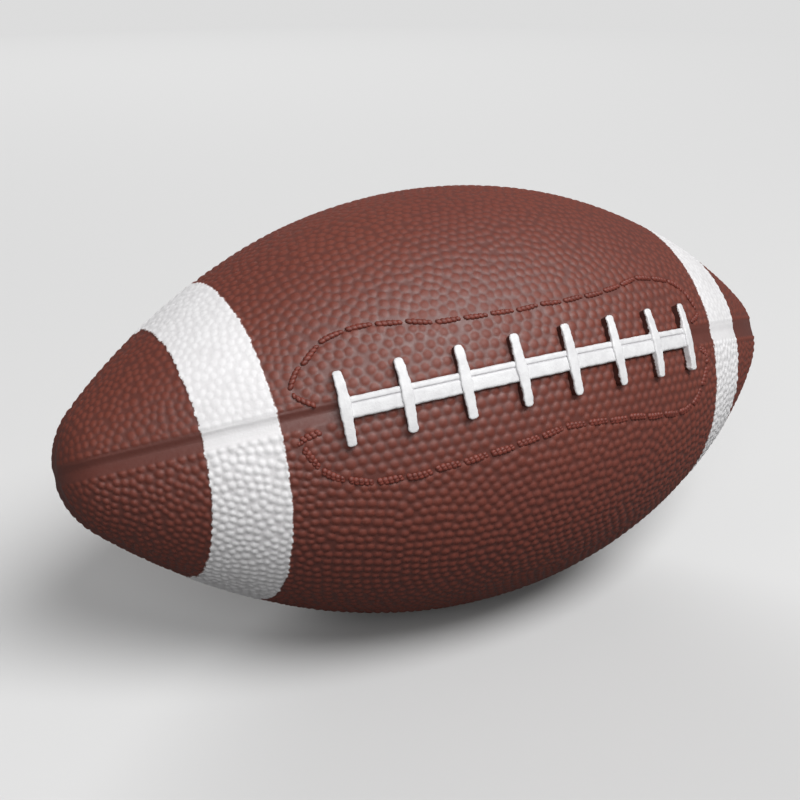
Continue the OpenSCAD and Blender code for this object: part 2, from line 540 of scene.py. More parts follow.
    def even_out(self, places: Array) -> Array:
        """Pushes crowded pebbles apart once.

        Args:
            places: Runs and turns on the panel.

        Returns:
            The same pebbles, moved.
        """
        points = self.points_of(places)
        tree = tree_of(points)
        near = np.array([[hit[1] for hit in tree.find_n(p, 7)[1:]] for p in points])
        step = points[:, None, :] - points[near]
        gap = np.linalg.norm(step, axis=2, keepdims=True) + 1e-6
        past = np.abs(places[:, 0]) - self.end_run
        close = 1 - (1 - self.end_share) * smooth_step(-self.push_blend, self.push_blend, past)
        inner = np.maximum(0, self.least_gap * close[:, None, None] - gap)
        push = (step / gap * inner * self.push_share).sum(axis=1)
        _, out, tilt = self.outline.place(places[:, 0])
        angle = np.radians(places[:, 1] + self.middle_turn)
        sine, cosine = np.sin(angle), np.cos(angle)
        along = np.stack([np.cos(tilt), np.sin(tilt) * sine, -np.sin(tilt) * cosine], axis=1)
        around = np.stack([np.zeros_like(angle), -cosine, -sine], axis=1)
        moved = places.copy()
        moved[:, 0] += (push * along).sum(axis=1)
        moved[:, 1] += np.degrees((push * around).sum(axis=1) / np.maximum(out, 1))
        return moved


@dataclass
class Cover:
    """The moulded skin: its outline, grain, seam channels, lace patch and valve seat."""

    outline: Outline = field(default_factory=Outline)
    seed: int = 11
    grain_deep: float = 0.46
    patch_deep: float = 0.40
    patch_least: float = 0.8
    tip_drop: float = 0.1
    channel_half: float = 2.45
    channel_deep: float = 0.72
    channel_level: float = 0.85
    crease_shift: float = -0.15
    upper_flank: Pair = (1.75, 1.4)
    lower_flank: Pair = (2.5, 1.6)
    tip_loss: float = 0.65
    grain_fade: Pair = (18, 3)
    channel_fade: Pair = (13, 1)
    right_loss: float = 0.7
    right_fade: Pair = (45, 75)
    patch_blend: float = 0.25
    seam_blend: Pair = (-0.1, 0.6)
    valve_lip_r: float = 5.4
    valve_lip_wide: float = 0.55
    valve_lip_high: float = 0.2
    valve_flat_r: float = 6.9
    grains: list[Grain] = field(default_factory=list)

    def prepare(self) -> None:
        """Lays the pebbles of the four panels, from the upper front one round to the back."""
        for number, own in enumerate((
            ((-22.0, 14.0), Patch.UPPER, 0.6, 0.54, 0.47, 2.6),
            ((-6.0, 24.0), Patch.LOWER, 0.42, 1.0, 0.51, 2.0),
            ((-26.0, 12.0), Patch.NONE, 0.3, 1.0, 0.51, 2.0),
            ((-12.0, 20.0), Patch.NONE, 0.4, 0.85, 0.49, 2.4),
        )):
            draw = np.random.default_rng(self.seed + number)
            grain = Grain(self.outline, panel_turn(number), draw, *own)
            grain.lay()
            self.grains.append(grain)
            LOG.info("panel %d: %d pebbles", number + 1, len(grain.radii))

    def relief(self, run: Array, turn: Array) -> tuple[Array, Array]:
        """Gives the moulded relief at places on the cover.

        Args:
            run: Runs along the cover.
            turn: Turns round the axis, in degrees.

        Returns:
            Rise over the cover's outline (0 at the top of a pebble), and how much of a
            pebble's height each place has, from 0 to 1.
        """
        share, dome = np.ones(len(run)), np.zeros(len(run))
        index = np.floor((turn - (LACE_TURN - 90)) / 90).astype(int) % 4
        points = self.outline.wrap(run, turn, np.zeros(len(run)))
        for number, grain in enumerate(self.grains):
            here = np.nonzero(index == number)[0]
            if not len(here):
                continue
            hits = [grain.tree.find(p)[1:] for p in points[here].tolist()]
            near = np.array([hit[0] for hit in hits])
            gap = np.array([hit[1] for hit in hits]) / grain.radii[near]
            dome[here] = np.clip(1 - gap**grain.roundness, 0, 1)
            share[here] = grain.deep_share
        _, out, _ = self.outline.place(run)
        tip = self.outline.starts()[-1]
        start, stop = (tip - end for end in self.grain_fade)
        fade = 1 - self.tip_loss * smooth_step(start, stop, np.abs(run))
        offset = (turn - LACE_TURN + HALF_PANEL) % 90 - HALF_PANEL
        from_seam = out * np.sin(np.radians(offset))
        on_lace_seam = np.abs((turn - LACE_TURN + 180) % 360 - 180) < HALF_PANEL
        in_patch = self.patch_share(run, np.where(on_lace_seam, from_seam, FAR))
        share += (np.maximum(share, self.patch_least) - share) * in_patch
        deep = self.grain_deep - (self.grain_deep - self.patch_deep) * in_patch
        grain_rise = -deep * share * (1 - dome) * fade - self.tip_drop * (1 - fade)
        step = np.where(on_lace_seam, from_seam - self.crease_shift, np.abs(from_seam))
        (upper, upper_bend), (lower, lower_bend) = self.upper_flank, self.lower_flank
        flank = np.where(on_lace_seam, np.where(step < 0, upper, lower), self.channel_half)
        away = np.clip(np.abs(step) / flank, 0, 1)
        sink = np.where(step < 0, 1 - away**upper_bend, 1 - away**lower_bend)
        start, stop = (tip - end for end in self.channel_fade)
        end_fade = 1 - self.tip_loss * smooth_step(start, stop, np.abs(run))
        end_fade *= 1 - self.right_loss * smooth_step(*self.right_fade, run)
        channel = -self.grain_deep * self.channel_level * fade - self.channel_deep * sink * end_fade
        start, stop = (self.channel_half + past for past in self.seam_blend)
        mix = smooth_step(start, stop, np.abs(from_seam))
        rise = channel * (1 - mix) + grain_rise * mix
        seat = np.where(points[:, 1] > 20, np.hypot(points[:, 0], points[:, 2]), FAR)
        flat = 1 - smooth_step(self.valve_flat_r - 0.7, self.valve_flat_r, seat)
        lip = self.valve_lip_high * hump(seat - self.valve_lip_r, self.valve_lip_wide)
        return rise * (1 - flat) + (lip - self.grain_deep) * flat, dome * mix * (1 - flat)

    def patch_share(self, run: Array, drop: Array) -> Array:
        """Tells how far inside the lace patch each place is.

        Args:
            run: Runs along the cover.
            drop: Distances below the lace seam.

        Returns:
            A share for each place, from 0 outside to 1.
        """
        upper, lower = (grain.patch_edge(run) for grain in self.grains[:2])
        past = np.abs(drop) - np.where(drop < 0, upper, lower)
        return 1 - smooth_step(-self.patch_blend, self.patch_blend, past)


# ---- finishes


def linear(colour: Colour) -> tuple[float, float, float, float]:
    """Turns a screen colour from 0 to 255 into the light it stands for."""
    shares = [c / 255 for c in colour]
    return (*(c / 12.92 if c <= 0.04045 else ((c + 0.055) / 1.055) ** 2.4 for c in shares), 1.0)


class Nodes:
    """Short ways to add and link shader nodes in an emptied node tree."""

    def __init__(self, tree: bpy.types.NodeTree) -> None:
        """Empties the tree."""
        tree.nodes.clear()
        self.tree = tree

    def add(self, kind: str, inputs: dict, **settings: object) -> bpy.types.Node:
        """Adds a node.

        Args:
            kind: Its type, without the first word that all shader nodes share.
            inputs: For each input's name or number, a value or the output to link to it.
            settings: Its own settings.

        Returns:
            The node.
        """
        node = self.tree.nodes.new(f"ShaderNode{kind}")
        for name, value in settings.items():
            setattr(node, name, value)
        for name, source in inputs.items():
            if isinstance(source, bpy.types.NodeSocket):
                self.tree.links.new(source, node.inputs[name])
            else:
                node.inputs[name].default_value = source
        return node


class Coat(Nodes):
    """The nodes of one material."""

    def __init__(self, name: str) -> None:
        """Starts an empty material.

        Args:
            name: Its name.
        """
        self.material = bpy.data.materials.new(name)
        self.material.use_nodes = True
        super().__init__(self.material.node_tree)
        self.place = self.add("TexCoord", {}).outputs["Object"]

    def noise(self, scale: float, detail: float = 3) -> object:
        """Adds a noise pattern, with its scale in waves per metre, and gives its output."""
        inputs = {"Vector": self.place, "Scale": scale, "Detail": detail, "Roughness": 0.55}
        return self.add("TexNoise", inputs).outputs["Fac"]

    def wave(self, scale: float, turned: Triple, bend: float) -> object:
        """Adds parallel bands.

        Args:
            scale: Bands per metre, roughly.
            turned: How far their pattern is turned about each axis, in radians.
            bend: How far they are bent.

        Returns:
            The output of the pattern.
        """
        place = self.add("Mapping", {"Vector": self.place, "Rotation": turned}).outputs[0]
        inputs = {"Vector": place, "Scale": scale, "Distortion": bend}
        return self.add("TexWave", inputs).outputs["Fac"]

    def read(self, name: str) -> object:
        """Reads a named value of the mesh."""
        return self.add("Attribute", {}, attribute_name=name).outputs["Fac"]

    def math(self, kind: str, first: object, second: object) -> object:
        """Works out one sum of two values and gives its result."""
        return self.add("Math", {0: first, 1: second}, operation=kind).outputs[0]

    def span(self, value: object, low: float, high: float, out: Pair) -> object:
        """Stretches a value from a range to another and stops it at the ends."""
        ends = {"From Min": low, "From Max": high, "To Min": out[0], "To Max": out[1]}
        return self.add("MapRange", {"Value": value, **ends}).outputs[0]

    def spots(self, scale: float, out: Pair, low: float = 0.3, high: float = 0.7) -> object:
        """Adds a noise pattern, with its middle range stretched to another."""
        return self.span(self.noise(scale), low, high, out)

    def mix(self, share: object, first: object, second: Colour) -> object:
        """Mixes a colour, or a node's, with a second one by a share."""
        first = linear(first) if isinstance(first, tuple) and len(first) == 3 else first
        return self.add("Mix", {0: share, 6: first, 7: linear(second)}, data_type="RGBA").outputs[2]

    def dress(self, colour: object, rough: object, height: object, deep: float,
              shine: object = 0.5) -> Material:
        """Joins the finish up.

        Args:
            colour: Its colour.
            rough: Its roughness.
            height: Pattern that raises the surface.
            deep: How far that pattern raises it, in metres.
            shine: Strength of its mirror light.

        Returns:
            The material.
        """
        bump = self.add("Bump", {"Height": height, "Distance": deep}).outputs[0]
        shader = self.add("BsdfPrincipled", {
            "Base Color": colour, "Roughness": rough, "Specular IOR Level": shine, "Normal": bump,
        })
        self.add("OutputMaterial", {"Surface": shader.outputs[0]})
        return self.material


@dataclass(frozen=True)
class CoverRubber:
    """Brown moulded rubber with a dull skin and a fine random speckle, with painted shade in the
    valleys of its grain.
    """

    name: str = "cover_rubber"
    body: Colour = (108, 50, 38)
    # dark tone for a fine random speckle, and painted shade in the valleys between the pebbles
    valley: Colour = (74, 31, 23)
    warm: Colour = (115, 54, 39)
    rough: Pair = (0.51, 0.60)
    shine: Pair = (0.8, 0.6)

    def build(self) -> Material:
        """Makes the material.

        Returns:
            The finished material.
        """
        n = Coat(self.name)
        dome, fine = n.read("dome"), n.noise(1300, 4)
        broad = n.math("MULTIPLY", n.spots(26, (0, 1), 0.35, 0.65), 0.6)
        colour = n.mix(broad, self.body, self.warm)
        colour = n.mix(n.span(fine, 0.3, 0.7, (0.0, 0.16)), colour, self.valley)
        # painted shade: the valleys between the pebbles are darkened
        colour = n.mix(n.span(dome, 0.0, 0.55, (0.55, 0.0)), colour, self.valley)
        rough = n.spots(420, self.rough, 0.35, 0.65)
        rough = n.math("ADD", rough, n.math("MULTIPLY", dome, 0.06))
        height = n.math("ADD", n.noise(900), n.math("MULTIPLY", fine, 0.5))
        shine = n.span(dome, 0.0, 0.7, self.shine)
        return n.dress(colour, rough, height, 0.00006, shine)


@dataclass(frozen=True)
class StitchRubber:
    """The same rubber where the moulded stitches stand, redder and rubbed smooth."""

    name: str = "stitch_rubber"
    body: Colour = (118, 53, 41)
    dark: Colour = (92, 41, 32)

    def build(self) -> Material:
        """Makes the material.

        Returns:
            The finished material.
        """
        n = Coat(self.name)
        colour = n.mix(n.spots(700, (0, 0.8), 0.35, 0.65), self.body, self.dark)
        return n.dress(colour, n.spots(500, (0.48, 0.6)), n.noise(2600, 2), 0.00005)


@dataclass(frozen=True)
class StripePaint:
    """White paint over the grain, with brown showing where it thins out at its edges."""

    name: str = "stripe_paint"
    paint: Colour = (232, 231, 232)
    shade: Colour = (210, 208, 209)
    under: Colour = (110, 62, 50)

    def build(self) -> Material:
        """Makes the material.

        Returns:
            The finished material.
        """
        n = Coat(self.name)
        colour = n.mix(n.math("MULTIPLY", n.spots(160, (0, 1)), 0.5), self.paint, self.shade)
        # painted shade: the paint is greyed in the valleys between the pebbles
        colour = n.mix(n.span(n.read("dome"), 0.0, 0.5, (0.45, 0.0)), colour, self.shade)
        edge = n.math("ADD", n.read("edge"), n.spots(1500, (-0.25, 0.25)))
        colour = n.mix(n.span(edge, 0.1, 0.3, (0.9, 0.0)), colour, self.under)
        height = n.math("ADD", n.noise(1100), n.noise(3200, 2))
        return n.dress(colour, n.spots(600, (0.42, 0.6)), height, 0.00005)


@dataclass(frozen=True)
class LacePaint:
    """White paint rolled on raised rubber laces, which leaves their side walls brown, with painted
    shade in the groove between the rails and on the bare walls.
    """

    name: str = "lace_paint"
    paint: Colour = (219, 219, 220)
    shade: Colour = (196, 195, 197)
    # brown rubber of the bare side walls, darker than the cover's brown as painted shade at the
    # foot of the laces
    under: Colour = (62, 31, 25)

    def build(self) -> Material:
        """Makes the material.

        Returns:
            The finished material.
        """
        n = Coat(self.name)
        colour = n.mix(n.spots(350, (0, 0.6), 0.35), self.paint, self.shade)
        # painted shade: the paint is greyed in the groove between the two rails
        colour = n.mix(n.math("MULTIPLY", n.read("groove"), 0.9), colour, self.shade)
        edge = n.math("ADD", n.read("paint"), n.spots(1400, (-0.3, 0.3)))
        colour = n.mix(n.span(edge, -0.08, 0.08, (1.0, 0.0)), colour, self.under)
        height = n.math("ADD", n.noise(700), n.noise(2400, 2))
        return n.dress(colour, n.spots(500, (0.36, 0.55)), height, 0.00007)


@dataclass(frozen=True)
class PlainRubber:
    """Plain moulded rubber with a fine mottle, for the valve and the inner layers."""

    name: str
    body: Colour
    fleck: Colour
    rough: float = 0.5
    grain: float = 900.0

    def build(self) -> Material:
        """Makes the material.

        Returns:
            The finished material.
        """
        n = Coat(self.name)
        colour = n.mix(n.spots(self.grain, (0, 1), 0.35), self.body, self.fleck)
        rough = n.spots(300, (self.rough - 0.08, self.rough + 0.08))
        return n.dress(colour, rough, n.noise(self.grain * 2), 0.00008)


@dataclass(frozen=True)
class WoundThread:
    """Nylon thread wound in crossing layers and bonded."""

    name: str = "nylon_winding"
    thread: Colour = (206, 190, 150)
    gap: Colour = (104, 84, 58)

    def build(self) -> Material:
        """Makes the material.

        Returns:
            The finished material.
        """
        n = Coat(self.name)
        bands = [n.wave(420, turned, 1.5) for turned in ((0.3, 0.9, 0.5), (0.3, -0.9, -0.4))]
        height = n.math("MAXIMUM", *bands)
        return n.dress(n.mix(height, self.gap, self.thread), 0.6, height, 0.0002)


# ---- building helpers


def finish_piece(name: str, bm: BMesh, points: Array, material: Material,
                 slot: str, node: str | None = None, sharp: float | None = None,
                 body: Layer = Layer.BALL, **values: Array) -> None:
    """Turns a mesh in work into a finished piece, at the origin and in the scene.

    Args:
        name: Name of the piece.
        bm: The mesh in work, which is freed.
        points: Where its vertices go, in millimetres.
        material: Its finish.
        slot: Slot of its finish; not used.
        node: The node that it stands for, if any.
        sharp: Angle in degrees past which an edge stays sharp, or None to keep the marks made.
        body: The body that it rides on.
        values: Named values of its vertices, for the material.
    """
    for vert, point in zip(bm.verts, points * MM):
        vert.co = point
    bm.normal_update()
    bmesh.ops.recalc_face_normals(bm, faces=bm.faces)
    for face in bm.faces:
        face.smooth = True
    if sharp is not None:
        for edge in bm.edges:
            edge.smooth = edge.calc_face_angle(0) < math.radians(sharp)
    open_edges = sum(not edge.is_manifold for edge in bm.edges)
    triangles = sum(len(face.verts) - 2 for face in bm.faces)
    mesh = bpy.data.meshes.new(name)
    bm.to_mesh(mesh)
    bm.free()
    for key, value in values.items():
        stored = mesh.attributes.new(key, "FLOAT", "POINT")
        stored.data.foreach_set("value", value.astype(np.float32))
    mesh.materials.append(material)
    piece = add_object(name, mesh)
    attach(piece, body.value)
    if node:
        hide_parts(node)
    LOG.info("%s: %d triangles, %d open edges", name, triangles, open_edges)


def add_object(name: str, data: bpy.types.ID) -> bpy.types.Object:
    """Adds an object to the scene.

    Args:
        name: Its name.
        data: What it shows.

    Returns:
        The object.
    """
    made = bpy.data.objects.new(name, data)
    bpy.context.scene.collection.objects.link(made)
    return made


def coordinates(bm: BMesh) -> Array:
    """Gives the vertices of a mesh in work as rows of x, y, z."""
    return np.array([tuple(vert.co) for vert in bm.verts])


def grid(bm: BMesh, rows: int, columns: int, corner: Triple, along: Triple,
         across: Triple) -> None:
    """Adds a flat grid.

    Args:
        bm: The mesh in work.
        rows: Faces in the first direction.
        columns: Faces in the second direction.
        corner: Where it starts.
        along: Its whole first side.
        across: Its whole second side.
    """
    first, second = Vector(along), Vector(across)
    normal = first.cross(second).normalized()
    matrix = Matrix((first, second, normal)).transposed().to_4x4()
    matrix.translation = Vector(corner) + (first + second) / 2
    bmesh.ops.create_grid(bm, x_segments=rows, y_segments=columns, size=0.5, matrix=matrix)


# ---- sub-assemblies


@dataclass
class Panels:
    """The four quarters of the cover, each a closed sheet of rubber from tip to tip."""

    cover: Cover
    material: Material
    thickness: float = 1.6
    least: float = 0.1
    bands: tuple[tuple[float, float, int, int], ...] = (
        (71.5, 86.5, 8, 52), (86.5, 106.0, 47, 104),
        (106.0, 118.0, 27, 104), (118.0, 127.0, 20, 52),
    )
    middle_rows: int = 340
    middle_columns: int = 208
    tip_rows: int = 14
    tip_columns: int = 13
    inner_columns: int = 6
    pressed: float = 0.75
    painted: tuple[float, float, float, float] = (71.0, 72.0, 85.8, 86.6)
    hole_r: float = 4.6
    lining_gap: float = 9
    nodes: tuple[str, ...] = (
        "upper_front_panel", "lower_front_panel", "lower_back_panel", "upper_back_panel",
    )

    def zones(self) -> list[tuple[float, float, int, int]]:
        """Lists the zones from tip to tip.

        Returns:
            The first run, the last run, the rows and the columns of each.
        """
        tip = self.cover.outline.starts()[-1]
        half = [*self.bands, (self.bands[-1][1], tip, self.tip_rows, self.tip_columns)]
        edge = self.bands[0][0]
        left = [(-high, -low, rows, columns) for low, high, rows, columns in reversed(half)]
        return [*left, (-edge, edge, self.middle_rows, self.middle_columns), *half]

    def flat_box(self) -> BMesh:
        """Makes a panel as a flat closed box: run, share of its width, share of its thickness.

        Returns:
            The mesh in work, with its tips drawn together.
        """
        bm = bmesh.new()
        zones = self.zones()
        for number, (low, high, rows, columns) in enumerate(zones):
            span = (high - low, 0, 0)
            grid(bm, rows, columns, (low, -1, 0), span, (0, 2, 0))
            for side, other in ((low, number - 1), (high, number + 1)):
                if not 0 <= other < len(zones) or zones[other][3] <= columns:
                    continue
                own = [v for v in bm.verts if abs(v.co.x - side) < TINY and v.co.z > -TINY]
                rim = {v for v in own if all(low - TINY < e.other_vert(v).co.x < high + TINY
                                             for e in v.link_edges)}
                edges = {e for v in rim for e in v.link_edges if e.other_vert(v) in rim}
                cuts = zones[other][3] // columns - 1
                bmesh.ops.subdivide_edges(bm, edges=list(edges), cuts=cuts)
            grid(bm, rows, self.inner_columns, (low, -1, -1), span, (0, 2, 0))
            for side in (-1, 1):
                grid(bm, rows, 1, (low, side, -1), span, (0, 0, 1))
        for vert in bm.verts:
            if abs(vert.co.x) > zones[-1][1] - 1e-3:
                vert.co.y = 0
        bmesh.ops.remove_doubles(bm, verts=bm.verts, dist=TINY)
        for edge in bm.edges:
            on_rim = all(abs(abs(v.co.y) - 1) < 1e-5 and abs(v.co.z) < 1e-5 for v in edge.verts)
            edge.smooth = not on_rim
        return bm

    def build(self) -> None:
        """Makes the four panels."""
        for number, node in enumerate(self.nodes):
            bm = self.flat_box()
            if node == "upper_back_panel":
                self.open_valve_hole(bm, number)
            flat = coordinates(bm)
            turn = panel_turn(number) + HALF_PANEL * np.clip(flat[:, 1], -1, 1)
            skin = flat[:, 2] > -TINY
            rise = np.full(len(flat), -self.thickness)
            dome = np.zeros(len(flat))
            inset = turn[skin] - 1e-6 * np.sign(flat[skin, 1])
            rise[skin], dome[skin] = self.cover.relief(flat[skin, 0], inset)
            under = smooth_step(*self.painted[:2], np.abs(flat[:, 0]))
            under *= 1 - smooth_step(*self.painted[2:], np.abs(flat[:, 0]))
            bare = rise + (1 - dome) * self.cover.grain_deep
            pressed = rise * (1 - under) + (bare - self.pressed) * under
            rise = np.where(skin, np.maximum(pressed, self.least - self.thickness), rise)
            points = self.cover.outline.wrap(flat[:, 0], turn, rise)
            finish_piece(
                f"rubber_{node}", bm, points, self.material, "cover_rubber", node, dome=dome
            )

    def open_valve_hole(self, bm: BMesh, number: int) -> None:
        """Cuts the round hole for the valve through the skin and its lining.

        Args:
            bm: The flat box of the panel.
            number: Number of the panel.
        """
        centre = (VALVE_TURN - panel_turn(number)) / HALF_PANEL
        scale = math.radians(HALF_PANEL) * self.cover.outline.girth_d / 2
        rims = []
        for level, radius in ((0, self.hole_r), (-1, self.hole_r + self.lining_gap)):
            layer = [f for f in bm.faces if all(abs(v.co.z - level) < TINY for v in f.verts)]
            middles = [f.calc_center_median() for f in layer]
            faces = [
                face for face, middle in zip(layer, middles)
                if math.hypot(middle.x, (middle.y - centre) * scale) < radius
            ]
            bmesh.ops.delete(bm, geom=faces, context="FACES")
            rims.append([e for e in bm.edges
                         if e.is_boundary and all(abs(v.co.z - level) < TINY for v in e.verts)])
        outer, inner = rims
        for vert in {v for e in outer for v in e.verts}:
            x, y = vert.co.x, (vert.co.y - centre) * scale
            far = math.hypot(x, y)
            vert.co.x = x / far * self.hole_r
            vert.co.y = centre + y / far * self.hole_r / scale
        wall = bmesh.ops.extrude_edge_only(bm, edges=outer)["geom"]
        for vert in (v for v in wall if isinstance(v, bmesh.types.BMVert)):
            vert.co.z = -1
        lower_rim = [e for e in wall if isinstance(e, bmesh.types.BMEdge) and e.is_boundary]
        for edge in outer:
            edge.smooth = False
        bmesh.ops.triangle_fill(bm, edges=lower_rim + inner, use_beauty=True, normal=(0, 0, -1))


@dataclass
class Stripe:
    """One coat of paint round the ball, over the grain and down the seam channels.

    Each edge lies at a base run, swings by a distance and has the phase of that swing.
    """

    cover: Cover
    material: Material
    name: str
    side: int
    near: Triple
    far: Triple
    coat: float = 0.13
    sunk: float = 0.55
    rows: int = 54
    columns: int = 612
    filled: float = 0.3
    crease_left: float = 0.65
    catch: float = 0.32
    thin_edge: float = 0.35

    def edge(self, number: int, turn: Array) -> Array:
        """Gives the run of an edge, which wanders and catches on the pebbles.

        Args:
            number: 0 for the near edge, 1 for the far one.
            turn: Turns to look up.

        Returns:
            A run for each turn.
        """
        base, swing, phase = (self.near, self.far)[number]
        angle = np.radians(turn - LACE_TURN)
        run = base + swing * np.cos(angle + math.radians(phase))
        run += 0.10 * np.sin(11 * angle + 2.1 * number + self.side)
        run += 0.07 * np.sin(23 * angle + 0.7 * number)
        _, dome = self.cover.relief(self.side * run, turn)
        return run + (2 * number - 1) * self.catch * (dome - 0.5)

    def build(self) -> None:
        """Makes the coat."""
        bm = bmesh.new()
        across, up, around = (1, 0, 0), (0, 0, 1), (0, 360, 0)
        grid(bm, self.rows, self.columns, (0, 0, 0), across, around)
        grid(bm, 2, self.columns, (0, 0, -1), across, around)
        for end in (0, 1):
            grid(bm, 1, self.columns, (end, 0, -1), up, around)
        for vert in bm.verts:
            if vert.co.y > 360 - TINY:
                vert.co.y = 0
        bmesh.ops.remove_doubles(bm, verts=bm.verts, dist=1e-3)
        flat = coordinates(bm)
        first = LACE_TURN - 2 * HALF_PANEL
        turn = flat[:, 1] + first
        steps = np.linspace(0, 360, self.columns + 1) + first
        low, high = (np.interp(turn, steps, self.edge(number, steps)) for number in (0, 1))
        run = self.side * (low + (high - low) * flat[:, 0])
        rise, dome = self.cover.relief(run, turn)
        level = self.cover.grain_deep
        crease = (rise + level) * self.crease_left - level
        deep = smooth_step(0.0, 0.25, -rise - level)
        soft = (rise + self.filled * level * (1 - dome)) * (1 - deep) + crease * deep
        share = np.minimum(flat[:, 0], 1 - flat[:, 0]) * (high - low)
        top = soft + self.coat * smooth_step(0, self.thin_edge, share + 0.1)
        rise = np.where(flat[:, 2] > -0.5, top, -self.sunk + np.minimum(rise, 0) * 0.5)
        points = self.cover.outline.wrap(run, turn, rise)
        finish_piece(f"painted_{self.name}", bm, points, self.material, "stripe_paint", self.name,
                     60, dome=dome, edge=share)


